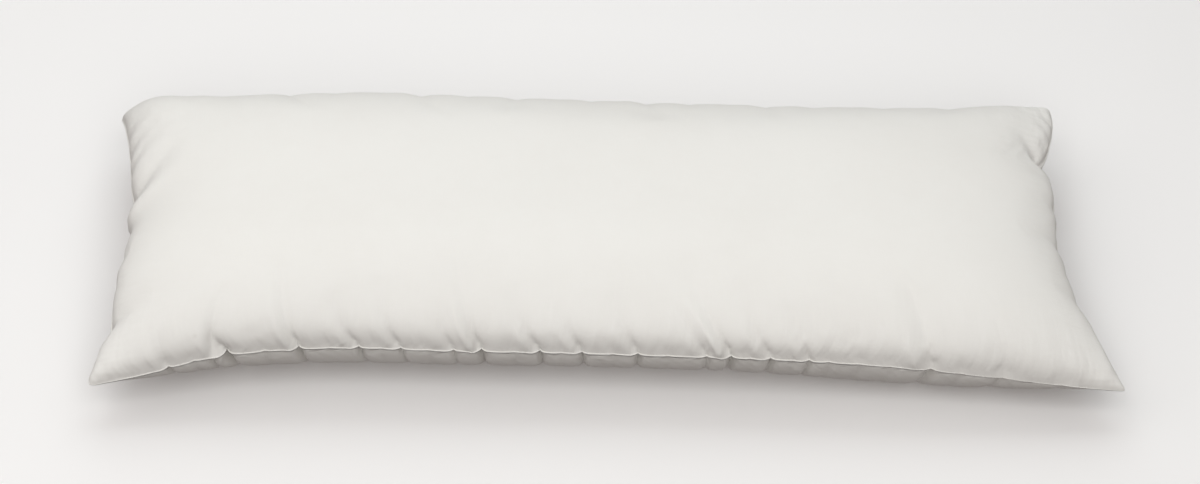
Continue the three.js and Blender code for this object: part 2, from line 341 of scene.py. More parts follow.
FAR_SIDE = SeamSide(
    Edge.FAR, FAR_LEFT, FAR_RIGHT,
    stations=(
        Station(share=0.04, inset=0.003, height=0.062),
        Station(share=0.12, inset=0.010, height=0.061),
        Station(share=0.25, inset=0.009, height=0.065),
        Station(share=0.50, inset=0.012, height=0.062),
        Station(share=0.75, inset=0.013, height=0.056),
        Station(share=0.88, inset=0.010, height=0.057),
        Station(share=0.95, inset=0.003, height=0.061),
    ),
    gathers=(
        Gather(at=-0.383, depth=0.0050, half=0.0110, reach=0.085, lean=0.00),
        Gather(at=-0.352, depth=0.0020, half=0.0060, reach=0.075, lean=0.14, crest=0.3),
        Gather(at=-0.322, depth=0.0018, half=0.0045, reach=0.044, lean=0.14),
        Gather(at=-0.291, depth=0.0050, half=0.0060, reach=0.081, lean=0.21, crest=0.4),
        Gather(at=-0.262, depth=0.0020, half=0.0045, reach=0.048, lean=0.21),
        Gather(at=-0.236, depth=0.0040, half=0.0055, reach=0.070, lean=-0.14, crest=0.3),
        Gather(at=-0.204, depth=0.0018, half=0.0045, reach=0.046, lean=0.14),
        Gather(at=-0.168, depth=0.0060, half=0.0058, reach=0.091, lean=0.21, crest=0.4),
        Gather(at=-0.143, depth=0.0020, half=0.0045, reach=0.044, lean=0.21),
        Gather(at=-0.121, depth=0.0040, half=0.0050, reach=0.065, lean=0.14, crest=0.3),
        Gather(at=-0.091, depth=0.0018, half=0.0042, reach=0.046, lean=0.21),
        Gather(at=-0.064, depth=0.0050, half=0.0055, reach=0.081, lean=-0.21, crest=0.3),
        Gather(at=-0.034, depth=0.0020, half=0.0045, reach=0.044, lean=0.14),
        Gather(at=-0.008, depth=0.0040, half=0.0055, reach=0.070, lean=0.28, crest=0.3),
        Gather(at=0.021, depth=0.0018, half=0.0045, reach=0.044, lean=0.21),
        Gather(at=0.047, depth=0.0060, half=0.0058, reach=0.086, lean=0.21, crest=0.4),
        Gather(at=0.073, depth=0.0020, half=0.0045, reach=0.046, lean=0.21),
        Gather(at=0.098, depth=0.0040, half=0.0050, reach=0.065, lean=-0.14, crest=0.3),
        Gather(at=0.128, depth=0.0018, half=0.0045, reach=0.046, lean=0.14),
        Gather(at=0.157, depth=0.0050, half=0.0058, reach=0.081, lean=0.28, crest=0.4),
        Gather(at=0.187, depth=0.0020, half=0.0045, reach=0.044, lean=-0.14),
        Gather(at=0.219, depth=0.0040, half=0.0058, reach=0.070, lean=-0.21, crest=0.3),
        Gather(at=0.251, depth=0.0020, half=0.0050, reach=0.046, lean=-0.14),
        Gather(at=0.283, depth=0.0028, half=0.0065, reach=0.081, lean=-0.14, crest=0.3),
        Gather(at=0.315, depth=0.0018, half=0.0050, reach=0.046, lean=-0.14),
        Gather(at=0.349, depth=0.0040, half=0.0070, reach=0.070, lean=-0.21, crest=0.3),
    ),
)

LEFT_SIDE = SeamSide(
    Edge.LEFT, NEAR_LEFT, FAR_LEFT,
    stations=(
        Station(share=0.08, inset=0.0085, height=0.042),
        Station(share=0.15, inset=0.0165, height=0.047),
        Station(share=0.26, inset=0.0185, height=0.054),
        Station(share=0.36, inset=0.022, height=0.058),
        Station(share=0.46, inset=0.028, height=0.060),
        Station(share=0.56, inset=0.027, height=0.061),
        Station(share=0.64, inset=0.023, height=0.062),
        Station(share=0.78, inset=0.017, height=0.061),
        Station(share=0.90, inset=0.009, height=0.058),
    ),
    gathers=(
        Gather(at=-0.122, depth=0.0070, half=0.0065, reach=0.081, lean=0.14, crest=0.3),
        Gather(at=-0.084, depth=0.0020, half=0.0050, reach=0.048, lean=0.14),
        Gather(at=-0.047, depth=0.0040, half=0.0055, reach=0.070, lean=-0.21, crest=0.3),
        Gather(at=-0.014, depth=0.0018, half=0.0045, reach=0.046, lean=-0.14),
        Gather(at=0.017, depth=0.0085, half=0.0085, reach=0.075, lean=1.00, crest=0.9, nip=0.75, climb=0.0),
        Gather(at=0.058, depth=0.0026, half=0.0055, reach=0.060, lean=1.05, crest=0.6, nip=0.20, climb=0.0),
        Gather(at=0.080, depth=0.0024, half=0.0050, reach=0.050, lean=1.00, crest=0.6, nip=0.20, climb=0.0),
        Gather(at=0.108, depth=0.0026, half=0.0050, reach=0.040, lean=0.90, crest=0.6, nip=0.20, climb=0.0),
    ),
    spans=((0.0, 0.100), (1.0, 0.100)),
)

RIGHT_SIDE = SeamSide(
    Edge.RIGHT, NEAR_RIGHT, FAR_RIGHT,
    stations=(
        Station(share=0.10, inset=0.012, height=0.042),
        Station(share=0.25, inset=0.0275, height=0.052),
        Station(share=0.42, inset=0.032, height=0.058),
        Station(share=0.55, inset=0.0265, height=0.061),
        Station(share=0.64, inset=0.023, height=0.062),
        Station(share=0.72, inset=0.026, height=0.062),
        Station(share=0.80, inset=0.016, height=0.061),
        Station(share=0.88, inset=0.006, height=0.060),
        Station(share=0.95, inset=0.000, height=0.059),
    ),
    gathers=(
        Gather(at=-0.096, depth=0.0040, half=0.0070, reach=0.070, lean=0.21, crest=0.3),
        Gather(at=-0.063, depth=0.0020, half=0.0050, reach=0.048, lean=0.14),
        Gather(at=-0.031, depth=0.0050, half=0.0065, reach=0.075, lean=0.14, crest=0.3),
        Gather(at=-0.004, depth=0.0020, half=0.0050, reach=0.046, lean=-0.14),
        Gather(at=0.022, depth=0.0040, half=0.0060, reach=0.065, lean=-0.14, crest=0.3),
        Gather(at=0.055, depth=0.0020, half=0.0050, reach=0.048, lean=0.14),
        Gather(at=0.075, depth=0.0160, half=0.0075, reach=0.050, lean=1.00, crest=0.3, nip=0.90, climb=0.0),
        Gather(at=0.100, depth=0.0022, half=0.0060, reach=0.060, lean=1.05, crest=0.7, nip=0.10, climb=0.0),
        Gather(at=0.119, depth=0.0024, half=0.0055, reach=0.055, lean=1.05, crest=0.7, nip=0.10, climb=0.0),
        Gather(at=0.138, depth=0.0022, half=0.0050, reach=0.045, lean=1.00, crest=0.6, nip=0.10, climb=0.0),
    ),
    spans=((0.0, 0.100), (1.0, 0.100)),
)


@dataclass
class PillowForm:
    """The form that the cut panels and the filling give the pillow.

    Face_round is how far in from the ends and from the long sides the face is full, and a shoulder
    says how square the section is outside that. The back panel runs straight in from the seam over
    back_tuck, would sag back_sag below the surface if that weren't there, and lifts off it gently
    over lift_off. Corner_slack is how much less full the corners are. A roll is how far the cloth
    stands out past the stitching. A crowding pair says how much closer together the lines of the
    grid stand, and over what distance, and seam_crowding adds to that right beside the stitching.
    """

    half_length: float = 0.447
    half_width: float = 0.171
    face_round: tuple[float, float] = (0.190, 0.158)
    face_shoulder: float = 2.5
    back_shoulder: float = 2.6
    back_tuck: float = 0.012
    back_sag: float = 0.008
    lift_off: float = 0.006
    corner_slack: float = 0.25
    corner_span: float = 0.060
    face_roll: float = 0.0025
    back_roll: float = 0.001
    roll_span: float = 0.012
    crown_shares: tuple[float, ...] = (0, 0.25, 0.5, 0.75, 1)
    crown_heights: tuple[float, ...] = (0.116, 0.1185, 0.1155, 0.1125, 0.1115)
    end_crowding: tuple[float, float] = (1.0, 0.030)
    side_crowding: tuple[float, float] = (1.6, 0.020)
    seam_crowding: float = 0.22
    gather_crowding: tuple[float, float] = (2.4, 0.006)
    deep_gather: float = 0.004
    ruler_steps: int = 8001
    sides: tuple[SeamSide, ...] = (NEAR_SIDE, FAR_SIDE, LEFT_SIDE, RIGHT_SIDE)

    def shares(self, count: int, axis: int) -> np.ndarray:
        """Spaces the lines of a panel's grid, closer together at the seams and the deep gathers.

        Args:
            count: Number of cells.
            axis: 0 for the lines along the pillow, 1 for those across it.

        Returns:
            Shares from 0 to 1.
        """
        near, _, left, right = self.sides
        half_span = (self.half_length, self.half_width)[axis]
        extra, span = (self.end_crowding, self.side_crowding)[axis]
        more, width = self.gather_crowding
        gathers = (near.gathers, left.gathers + right.gathers)[axis]
        steps = np.linspace(0, 1, self.ruler_steps)
        at = half_span * (2 * steps - 1)
        density = 1 + extra * np.exp((np.abs(at) - half_span) / span)
        for gather in gathers:
            if gather.depth > self.deep_gather:
                density += more * np.exp(-(((at - gather.at) / width) ** 2))
        running = np.cumsum(density) * (at[1] - at[0])
        beside_seams = (np.sqrt(steps) - np.sqrt(1 - steps)) * math.sqrt(2 * half_span)
        running += 2 * self.seam_crowding * beside_seams
        return np.interp(np.linspace(running[0], running[-1], count + 1), running, steps)

    def seam_sheet(self, u: np.ndarray, v: np.ndarray) -> np.ndarray:
        """Stretches a sheet between the four sides of the seam.

        Args:
            u: Shares along the pillow.
            v: Shares across it.

        Returns:
            A grid of points.
        """
        near, far, left, right = self.sides
        across, along = v[None, :, None], u[:, None, None]
        sheet = near.points(u)[:, None] * (1 - across) + far.points(u)[:, None] * across
        sheet = sheet + left.points(v)[None] * (1 - along) + right.points(v)[None] * along
        ends = np.array([0.0, 1.0])
        for side, share in ((near, 1 - across), (far, across)):
            first, last = side.points(ends)
            sheet = sheet - (first * (1 - along) + last * along) * share
        return sheet

    def fullness(
        self, gap: np.ndarray, span: float | np.ndarray, shoulder: float, tuck: float
    ) -> np.ndarray:
        """Says how full a panel is, from 0 at the stitching to 1.

        Args:
            gap: Distance in from the seam.
            span: Distance at which the panel is full, one for all or one for each place.
            shoulder: How square the shoulder is, where 2 is an ellipse.
            tuck: Over what distance the cloth runs straight in from the seam before it rounds.

        Returns:
            The fullness at each place.
        """
        tucked = gap * gap / np.maximum(gap + tuck, TINY)
        short = np.clip(1 - tucked / span, 0, 1)
        return np.sqrt(np.clip(1 - short**shoulder, 0, 1))

    def roll_at(self, gap: np.ndarray, roll: float) -> np.ndarray:
        """How far the cloth rolls out past the stitching at a distance in from it."""
        return roll * (gap / self.roll_span) * np.exp(1 - gap / self.roll_span)

    def drawn_in(self, x: np.ndarray, y: np.ndarray, panel: Panel) -> np.ndarray:
        """Adds up how far the gathers of all four sides draw a panel in.

        Args:
            x: Places along the pillow from its middle.
            y: Places across it from its middle.
            panel: Which panel.

        Returns:
            The depth at each place of the grid.
        """
        near, far, left, right = self.sides
        return (
            near.depth(x, self.half_width + y, panel)
            + far.depth(x, self.half_width - y, panel)
            + left.depth(y, self.half_length + x, panel)
            + right.depth(y, self.half_length - x, panel)
        )

    def settled(self, height: np.ndarray) -> np.ndarray:
        """Lays what would sink below the surface flat on it, with a gentle lift off."""
        soft = np.clip(height, 0, 2 * self.lift_off) ** 2 / (4 * self.lift_off)
        return np.where(height < 2 * self.lift_off, soft, height - self.lift_off)

    def panel(self, panel: Panel, u: np.ndarray, v: np.ndarray) -> np.ndarray:
        """Shapes one panel.

        Args:
            panel: Which of the two.
            u: Shares along the pillow.
            v: Shares across it.

        Returns:
            A grid of points, gathers included.
        """
        x = (self.half_length * (2 * u - 1))[:, None]
        y = (self.half_width * (2 * v - 1))[None, :]
        end_gap, side_gap = self.half_length - np.abs(x), self.half_width - np.abs(y)
        if panel is Panel.FACE:
            shoulder, tuck, roll = self.face_shoulder, 0, self.face_roll
            end_round, side_round = self.face_round
            crown = CubicTable(list(self.crown_shares), [(height,) for height in self.crown_heights])
            full_height = crown.at(u)
        else:
            shoulder, tuck, roll = self.back_shoulder, self.back_tuck, self.back_roll
            near, far, left, right = (side.span(at) for side, at in zip(self.sides, (u, u, v, v)))
            end_round = np.where(x < 0, left, right)
            side_round = np.where(y < 0, near[:, None], far[:, None])
            full_height = np.full((len(u), 1), -self.back_sag - self.lift_off)
        end_full = self.fullness(end_gap, end_round, shoulder, tuck)
        side_full = self.fullness(side_gap, side_round, shoulder, tuck)
        slack = self.corner_slack * np.exp(-np.hypot(end_gap, side_gap) / self.corner_span)
        grid = self.seam_sheet(u, v)
        grid[..., 0] += np.sign(x) * self.roll_at(end_gap, roll) * side_full
        grid[..., 1] += np.sign(y) * self.roll_at(side_gap, roll) * end_full
        grid[..., 2] += (full_height - grid[..., 2]) * end_full * side_full * (1 - slack)
        return grid - outward(grid, panel) * self.drawn_in(x, y, panel)[..., None]


def outward(grid: np.ndarray, panel: Panel) -> np.ndarray:
    """Finds the way that the cloth faces.

    Args:
        grid: A panel's grid of points.
        panel: Which of the two.

    Returns:
        One unit vector for each point.
    """
    normal = np.cross(np.gradient(grid, axis=0), np.gradient(grid, axis=1)) * panel.value
    return normal / np.maximum(np.linalg.norm(normal, axis=2, keepdims=True), TINY)


def doubled(grid: np.ndarray) -> np.ndarray:
    """Puts a new line midway between each two lines of a grid, both ways.

    Each new point lies on the cubic curve through its four nearest neighbours.

    Args:
        grid: A grid of points or vectors.

    Returns:
        The grid with twice as many cells each way.
    """
    out = grid
    for _ in range(2):
        ends = [out[:1] * 2 - out[1:2], out, out[-1:] * 2 - out[-2:-1]]
        wide = np.concatenate(ends)
        middles = (9 * (wide[1:-2] + wide[2:-1]) - wide[:-3] - wide[3:]) / 16
        made = np.empty((2 * len(out) - 1, *out.shape[1:]))
        made[0::2], made[1::2] = out, middles
        out = made.swapaxes(0, 1)
    return out


class Sock:
    """A shader socket that takes part in Python arithmetic."""

    def __init__(self, tree: "ShaderTree", socket: bpy.types.NodeSocket) -> None:
        """Keeps the tree and the output socket."""
        self.tree = tree
        self.socket = socket

    def __add__(self, other: Any) -> "Sock":
        """Self + other."""
        return self.tree.math("ADD", self, other)

    def __radd__(self, other: Any) -> "Sock":
        """Other + self."""
        return self.tree.math("ADD", other, self)

    def __sub__(self, other: Any) -> "Sock":
        """Self - other."""
        return self.tree.math("SUBTRACT", self, other)

    def __rsub__(self, other: Any) -> "Sock":
        """Other - self."""
        return self.tree.math("SUBTRACT", other, self)

    def __mul__(self, other: Any) -> "Sock":
        """Self * other."""
        return self.tree.math("MULTIPLY", self, other)

    def __rmul__(self, other: Any) -> "Sock":
        """Other * self."""
        return self.tree.math("MULTIPLY", other, self)

    def __truediv__(self, other: Any) -> "Sock":
        """Self / other."""
        return self.tree.math("DIVIDE", self, other)

    def __rtruediv__(self, other: Any) -> "Sock":
        """Other / self."""
        return self.tree.math("DIVIDE", other, self)

    def __pow__(self, other: Any) -> "Sock":
        """Self to the power of other."""
        return self.tree.math("POWER", self, other)

    def __rpow__(self, other: Any) -> "Sock":
        """Other to the power of self."""
        return self.tree.math("POWER", other, self)

    def __abs__(self) -> "Sock":
        """Self without its sign."""
        return self.tree.math("ABSOLUTE", self)

    def sine(self) -> "Sock":
        """Sine of self, in radians."""
        return self.tree.math("SINE", self)

    def clamped(self) -> "Sock":
        """Self, held between 0 and 1."""
        return self.tree.math("MINIMUM", self.tree.math("MAXIMUM", self, 0.0), 1.0)


def add_node(
    tree: bpy.types.NodeTree, kind: str, sockets: dict[Any, Any], **settings: Any
) -> bpy.types.Node:
    """Adds a node to a tree.

    Args:
        tree: The tree.
        kind: The node's type.
        sockets: The value or link of each input, by name or number.
        settings: The node's own settings, set first.

    Returns:
        The node.
    """
    made = tree.nodes.new(kind)
    for name, value in settings.items():
        setattr(made, name, value)
    for name, value in sockets.items():
        source = value.socket if isinstance(value, Sock) else value
        if isinstance(source, bpy.types.NodeSocket):
            tree.links.new(source, made.inputs[name])
        else:
            made.inputs[name].default_value = source
    return made


class ShaderTree:
    """Builds one material's nodes."""

    def __init__(self, name: str) -> None:
        """Starts an empty material.

        Args:
            name: The material's name.
        """
        self.material = bpy.data.materials.new(name)
        self.material.use_nodes = True
        self.tree = self.material.node_tree
        self.tree.nodes.clear()

    def node(self, kind: str, sockets: dict[Any, Any], **settings: Any) -> bpy.types.Node:
        """Adds a node of any kind."""
        return add_node(self.tree, kind, sockets, **settings)

    def out(self, node: bpy.types.Node, name: Any) -> Sock:
        """One output of a node, ready for arithmetic."""
        return Sock(self, node.outputs[name])

    def math(self, operation: str, *values: Any) -> Sock:
        """Works on sockets or numbers with a Math node."""
        made = self.node("ShaderNodeMath", dict(enumerate(values)), operation=operation)
        return self.out(made, 0)

    def object_place(self) -> Sock:
        """Place on the object, in metres."""
        return self.out(self.node("ShaderNodeTexCoord", {}), "Object")

    def parts(self, vector: Sock) -> tuple[Sock, Sock, Sock]:
        """Splits a vector into its three parts."""
        made = self.node("ShaderNodeSeparateXYZ", {"Vector": vector})
        return self.out(made, "X"), self.out(made, "Y"), self.out(made, "Z")

    def noise(self, vector: Sock, scale: float | tuple[float, float], detail: float = 2.0) -> Sock:
        """Adds noise that varies between about 0 and 1.

        Args:
            vector: Where it is read.
            scale: How many times it turns over in a metre, or that along and across the cloth.
            detail: How many finer layers it has.

        Returns:
            Its value.
        """
        if isinstance(scale, tuple):
            stretch = {"Vector": vector, "Scale": (*scale, 1)}
            vector, scale = self.out(self.node("ShaderNodeMapping", stretch), "Vector"), 1.0
        sockets = {"Vector": vector, "Scale": scale, "Detail": detail}
        return self.out(self.node("ShaderNodeTexNoise", sockets), "Fac")

    def mixed(self, share: Any, first: Any, second: Any) -> Sock:
        """Mixes two colours.

        Args:
            share: How much of the second there is.
            first: A colour or a socket.
            second: A colour or a socket.

        Returns:
            The mixed colour.
        """
        made = self.node("ShaderNodeMix", {0: share, 6: first, 7: second}, data_type="RGBA")
        return self.out(made, 2)

    def bump(self, height: Sock, distance: float, strength: float, under: Sock | None = None) -> Sock:
        """Adds relief.

        Args:
            height: The relief, between about 0 and 1.
            distance: How high 1 stands, in metres.
            strength: How much of it shows.
            under: The normal that it adds to, if not the mesh's own.

        Returns:
            The normal with the relief in it.
        """
        sockets = {"Strength": strength, "Distance": distance, "Height": height}
        if under is not None:
            sockets["Normal"] = under
        return self.out(self.node("ShaderNodeBump", sockets), "Normal")

    def surface(self, sockets: dict[str, Any]) -> bpy.types.Material:
        """Ends the tree in a surface shader.

        Args:
            sockets: The shader's values and links.

        Returns:
            The finished material.
        """
        shader = self.node("ShaderNodeBsdfPrincipled", sockets)
        self.node("ShaderNodeOutputMaterial", {"Surface": self.out(shader, "BSDF")})
        return self.material


@dataclass(frozen=True)
class Mark:
    """A faint mark on the cloth: where it lies, how wide it is and how much it darkens."""

    place: tuple[float, float, float]
    width: float
    strength: float


@dataclass(frozen=True)
class CottonCloth:
    """Plain woven warm white cotton, matt, a little uneven in its thread.

    A scale says how many times a pattern turns over in a metre. The patches, the slubs in the
    thread and the crumpling each have a share in the tone, and what of it lies above tone_start,
    times tone_gain, is the share of the shade.
    """

    name: str = "cotton_shell"
    colour: tuple[float, ...] = (0.885, 0.885, 0.857, 1)
    shade: tuple[float, ...] = (0.825, 0.815, 0.78, 1)
    mark_colour: tuple[float, ...] = (0.5, 0.46, 0.42, 1)
    patch_scale: float = 7.0
    patch_share: float = 0.5
    slub_scale: tuple[float, float] = (60, 1400)
    slub_share: float = 0.35
    crumple_scale: float = 55.0
    crumple_detail: float = 3.0
    crumple_share: float = 0.15
    tone_start: float = 0.42
    tone_gain: float = 1.6
    thread_pitch: float = 0.00042
    thread_roundness: float = 0.6
    weave_height: float = 0.00006
    weave_strength: float = 0.6
    crumple_height: float = 0.0005
    crumple_strength: float = 0.35
    pucker_height: float = 0.0045
    pucker_scale: tuple[float, float] = (62, 16)
    pucker_span: float = 0.028
    cut_size: tuple[float, float] = (0.914, 0.356)
    back_start: float = 0.5
    roughness: float = 0.83
    slub_roughness: float = 0.1
    specular: float = 0.25
    sheen: float = 0.12
    sheen_roughness: float = 0.5
    marks: tuple[Mark, ...] = ()

    def material(self) -> bpy.types.Material:
        """Builds the finish.

        Returns:
            The material.
        """
        tree = ShaderTree(self.name)
        cut = tree.out(tree.node("ShaderNodeUVMap", {}, uv_map="flat_cut"), "UV")
        place = tree.object_place()
        along, across, _ = tree.parts(cut)
        turn = math.pi / self.thread_pitch
        weave = abs((along * turn).sine() * (across * turn).sine()) ** self.thread_roundness
        slub = (tree.noise(cut, self.slub_scale) + tree.noise(cut, self.slub_scale[::-1])) * 0.5
        crumple = tree.noise(place, self.crumple_scale, self.crumple_detail)
        patches = tree.noise(place, self.patch_scale)
        mix = patches * self.patch_share + slub * self.slub_share + crumple * self.crumple_share
        tone = ((mix - self.tone_start) * self.tone_gain).clamped()
        colour = tree.mixed(tone, self.colour, self.shade)
        for mark in self.marks:
            colour = tree.mixed(self.mask(tree, place, mark), colour, self.mark_colour)
        woven = tree.bump(weave + slub, self.weave_height, self.weave_strength)
        crumpled = tree.bump(crumple, self.crumple_height, self.crumple_strength, woven)
        puckered = tree.bump(self.puckers(tree, cut), self.pucker_height, 1.0, crumpled)
        return tree.surface(
            {
                "Base Color": colour,
                "Roughness": slub * self.slub_roughness + self.roughness,
                "Specular IOR Level": self.specular,
                "Sheen Weight": self.sheen,
                "Sheen Roughness": self.sheen_roughness,
                "Normal": puckered,
            }
        )

    def puckers(self, tree: ShaderTree, cut: Sock) -> Sock:
        """Makes the fine ripples that run in from the seams.

        Args:
            tree: The material's tree.
            cut: Place on the flat cut, where the back panel starts at back_start.

        Returns:
            Their height, which fades out with distance from the seams.
        """
        length, width = self.cut_size
        along, across, _ = tree.parts(cut)
        on_panel = tree.math("MODULO", across, self.back_start)
        heights = []
        for place, size, scale in (
            (on_panel, width, self.pucker_scale),
            (along, length, self.pucker_scale[::-1]),
        ):
            gap = size / 2 - abs(place - size / 2)
            near = tree.math("EXPONENT", gap / -self.pucker_span)
            heights.append((tree.noise(cut, scale) - 0.5) * near)
        return heights[0] + heights[1]

    def mask(self, tree: ShaderTree, place: Sock, mark: Mark) -> Sock:
        """Says how strongly a mark shows.

        Args:
            tree: The material's tree.
            place: Object coordinates.
            mark: The mark.

        Returns:
            A share that fades out with distance from the mark.
        """
        apart = tree.node("ShaderNodeVectorMath", {0: place, 1: mark.place}, operation="DISTANCE")
        near = 1 - tree.out(apart, "Value") / mark.width
        return near.clamped() * mark.strength


@dataclass(frozen=True)
class SewingThread:
    """Spun cotton thread of two plies, whose fuzz makes it a little rougher here and there."""

    name: str = "sewing_thread"
    colour: tuple[float, ...] = (0.84, 0.825, 0.785, 1)
    shade: tuple[float, ...] = (0.7, 0.68, 0.64, 1)
    shade_share: float = 0.2
    ply_pitch: float = 0.0006
    ply_height: float = 0.00004
    ply_strength: float = 0.5
    roughness: float = 0.7
    fuzz_scale: float = 900.0
    fuzz_roughness: float = 0.15
    specular: float = 0.3

    def material(self) -> bpy.types.Material:
        """Builds the finish.

        Returns:
            The material.
        """
        tree = ShaderTree(self.name)
        place = tree.object_place()
        x, y, z = tree.parts(place)
        plies = ((x + y + z) * (2 * math.pi / self.ply_pitch)).sine() * 0.5 + 0.5
        fuzz = tree.noise(place, self.fuzz_scale)
        return tree.surface(
            {
                "Base Color": tree.mixed(plies * self.shade_share, self.colour, self.shade),
                "Roughness": fuzz * self.fuzz_roughness + self.roughness,
                "Specular IOR Level": self.specular,
                "Normal": tree.bump(plies, self.ply_height, self.ply_strength),
            }
        )


@dataclass
class StuffedShell:
    """The two panels, settled under the pressure of the filling and closed by the seam.

    Edge_rise is half how thick the two folded edges are together at the stitching. Each row of
    fold_section is a line of them, from the face down: how far it stands out, as a share of
    edge_reach, and how high, as a share of edge_rise. Its middle row is the groove. Towards the
    corners the edges thin to tip_share. The spare values are the shares by which the simulated
    cloth is larger than its form, and cap is the most that it may move.
    """

    form: PillowForm
    finish: CottonCloth
    columns: int = 236
    rows: int = 48
    edge_reach: float = 0.0008
    edge_rise: float = 0.0007
    fold_section: tuple[tuple[float, float], ...] = (
        (0.75, 1.15),
        (1.0, 0.6),
        (0.25, 0.0),
        (1.0, -0.6),
        (0.75, -1.15),
    )
    tip_share: float = 0.4
    tip_span: float = 0.020
    frames: int = 14
    pressure: float = 1.2
    spare_at_seam: float = 0.016
    spare_elsewhere: float = 0.001
    spare_span: float = 0.030
    cap: float = 0.004
    name: str = "pillow_shell"
    seam_line: np.ndarray = field(default_factory=lambda: np.zeros((0, 3)))

    def build(self) -> bpy.types.Object:
        """Makes the shell.

        Returns:
            The finished object.
        """
        moved = {panel: 0.0 for panel in Panel}
        moved = {p: doubled(step) for p, step in self.settle().items()}
        u, v = self.lines(2)
        grids = {p: self.form.panel(p, u, v) + moved[p] for p in Panel}
        seam = sum(grids.values()) / 2
        rise = self.edge_rise * self.edge_share(seam)
        rise[:, 0] *= self.form.sides[0].lip(u)
        for panel, grid in grids.items():
            for rim in (np.s_[0, :], np.s_[-1, :], np.s_[:, 0], np.s_[:, -1]):
                grid[rim] = seam[rim]
                grid[rim][..., 2] += panel.value * rise[rim]
        back = grids[Panel.BACK]
        back[..., 2] = self.form.settled(back[..., 2] + self.form.lift_off)
        return self.mesh(grids)

    def edge_share(self, seam: np.ndarray) -> np.ndarray:
        """Says how much of its folded edge the seam shows, which is less towards the corners.

        Args:
            seam: The grid of points midway between the panels.

        Returns:
            A share at each place.
        """
        tips = seam[[0, 0, -1, -1], [0, -1, 0, -1]]
        apart = np.linalg.norm(seam[:, :, None] - tips, axis=3).min(axis=2)
        return 1 - (1 - self.tip_share) * np.exp(-apart / self.tip_span)

    def lines(self, fine: int) -> tuple[np.ndarray, np.ndarray]:
        """Shares of the grid's lines along and across.

        Args:
            fine: How many cells each coarse one is split into.

        Returns:
            The two rows of shares.
        """
        rows = []
        for axis, cells in enumerate((self.columns, self.rows)):
            at = np.arange(cells * fine + 1) / fine
            rows.append(np.interp(at, np.arange(cells + 1), self.form.shares(cells, axis)))
        return tuple(rows)

    def rim(self, columns: int, rows: int) -> list[tuple[int, int]]:
        """Lists the places round the edge of a grid, anticlockwise from the near left corner.

        Args:
            columns: Number of cells along the pillow.
            rows: Number of cells across it.

        Returns:
            The column and the row of each.
        """
        places = [(i, 0) for i in range(columns)]
        places += [(columns, j) for j in range(rows)]
        places += [(i, rows) for i in range(columns, 0, -1)]
        return places + [(0, j) for j in range(rows, 0, -1)]

    def quads(self, ids: np.ndarray, panel: Panel) -> list[tuple[int, ...]]:
        """Makes the faces of a grid, turned outwards.

        Args:
            ids: The grid's vertex numbers.
            panel: Which panel it is.

        Returns:
            The vertex numbers of each face.
        """
        a, b, c, d = ids[:-1, :-1], ids[1:, :-1], ids[1:, 1:], ids[:-1, 1:]
        order = (a, b, c, d) if panel is Panel.FACE else (a, d, c, b)
        return [tuple(int(n) for n in quad) for quad in np.stack(order, -1).reshape(-1, 4)]

    def settle(self) -> dict[Panel, np.ndarray]:
        """Lets the filling press the cloth out, with the seam held.

        Returns:
            How far each point of the coarse grids moves.
        """
        u, v = self.lines(1)
        grids = {p: self.form.panel(p, u, v) for p in Panel}
        seam = sum(grids.values()) / 2
        shape = seam.shape[:2]
        ids = {Panel.FACE: np.arange(seam[..., 0].size).reshape(shape)}
        ids[Panel.BACK] = ids[Panel.FACE] + ids[Panel.FACE].size
        rim = tuple(np.array(self.rim(shape[0] - 1, shape[1] - 1)).T)
        grids[Panel.FACE][rim] = seam[rim]
        ids[Panel.BACK][rim] = ids[Panel.FACE][rim]
        points = np.concatenate([grids[p].reshape(-1, 3) for p in Panel])
        used = np.unique(np.concatenate([ids[p].ravel() for p in Panel]))
        renumber = np.full(len(points), -1)
        renumber[used] = np.arange(len(used))
        ids = {p: renumber[numbers] for p, numbers in ids.items()}
        start = points[used]
        mesh = bpy.data.meshes.new("cloth_form")
        mesh.from_pydata(start.tolist(), [], [quad for p in Panel for quad in self.quads(ids[p], p)])
        cloth = bpy.data.objects.new("cloth_form", mesh)
        bpy.context.scene.collection.objects.link(cloth)
        held = cloth.vertex_groups.new(name="held")
        held.add([int(number) for number in ids[Panel.FACE][rim]], 1.0, "REPLACE")
        near = cloth.vertex_groups.new(name="near_seam")
        weights = self.nearness(u, v).ravel()
        for numbers in ids.values():
            for number, weight in zip(numbers.ravel(), weights):
                near.add([int(number)], float(weight), "REPLACE")
        self.prepare(cloth)
        step = self.simulated(cloth) - start
        length = np.linalg.norm(step, axis=1, keepdims=True)
        step *= self.cap * np.tanh(length / self.cap) / np.maximum(length, TINY)
        LOG.info("settled cloth: mean %.2f mm, most %.2f mm", length.mean() / MM, length.max() / MM)
        return {p: step[numbers] for p, numbers in ids.items()}

    def nearness(self, u: np.ndarray, v: np.ndarray) -> np.ndarray:
        """Says how near the seam each place of a panel is.

        Args:
            u: Shares along the pillow.
            v: Shares across it.

        Returns:
            A grid of shares, 1 at the seam.
        """
        end_gap = self.form.half_length * (1 - np.abs(2 * u - 1))[:, None]
        side_gap = self.form.half_width * (1 - np.abs(2 * v - 1))[None, :]
        return np.exp(-((np.minimum(end_gap, side_gap) / self.spare_span) ** 2))

